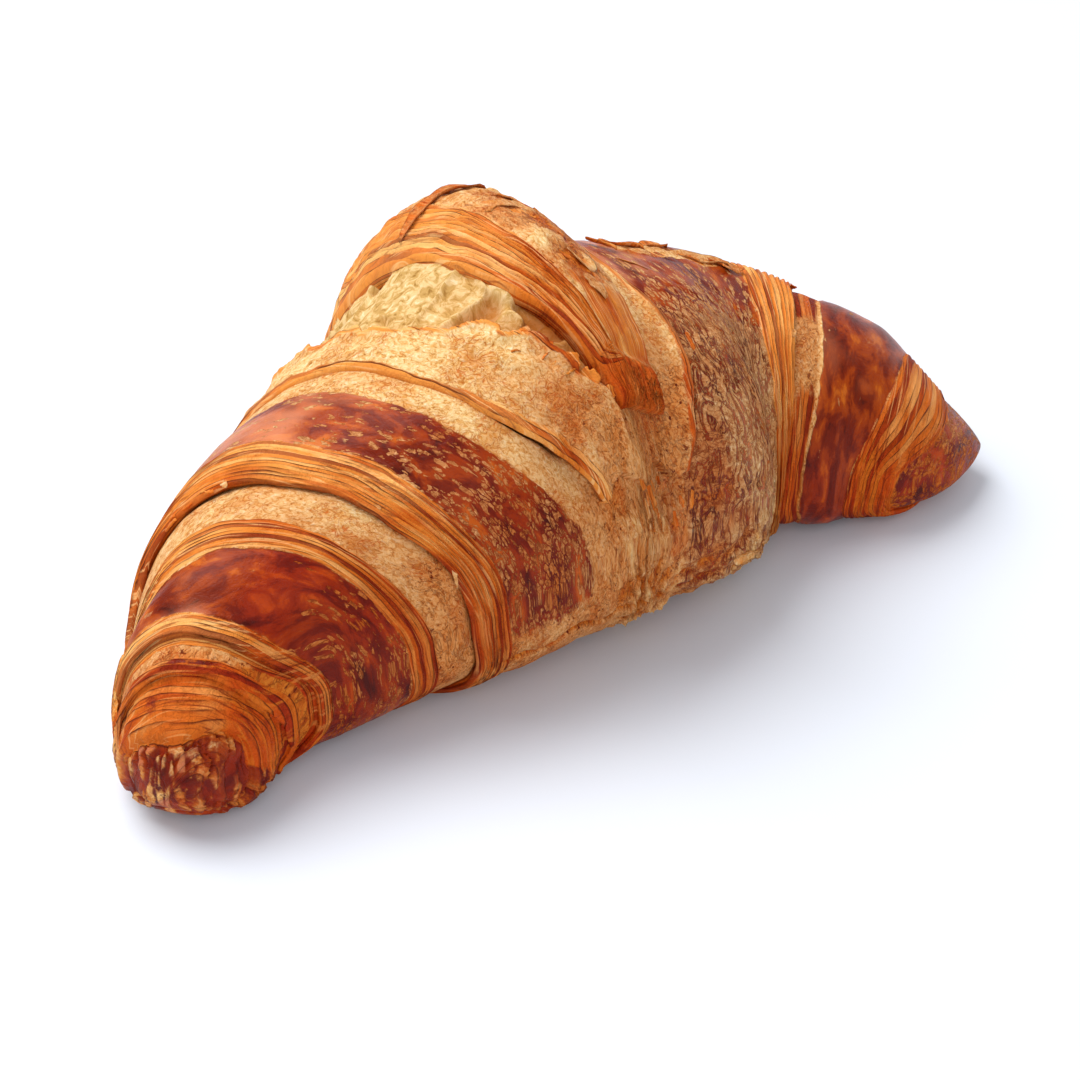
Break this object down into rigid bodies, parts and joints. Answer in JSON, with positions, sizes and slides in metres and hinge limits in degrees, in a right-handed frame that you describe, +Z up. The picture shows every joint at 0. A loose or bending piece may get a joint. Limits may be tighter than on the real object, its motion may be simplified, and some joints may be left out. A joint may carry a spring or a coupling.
{
  "type": "croissant",
  "caption": "Crescent roll of laminated dough with stepped turns, a raised top flap, a burst split beside it and a flat underside.",
  "frame": {"origin": "middle of the overall length and width, on the surface that the croissant rests on", "axes": "+X along the length from the blunt tip to the fine tip, -Y towards the inside of the bend, where both tips point, +Z up"},
  "size_m": [0.178, 0.0814, 0.075],
  "materials": {
    "crust": "egg-washed browned crust, glossy on the dark bands, dry and flaky on the pale ones"
  },
  "bodies": {
    "root": {"croissant": "crust"}
  },
  "joints": []
}
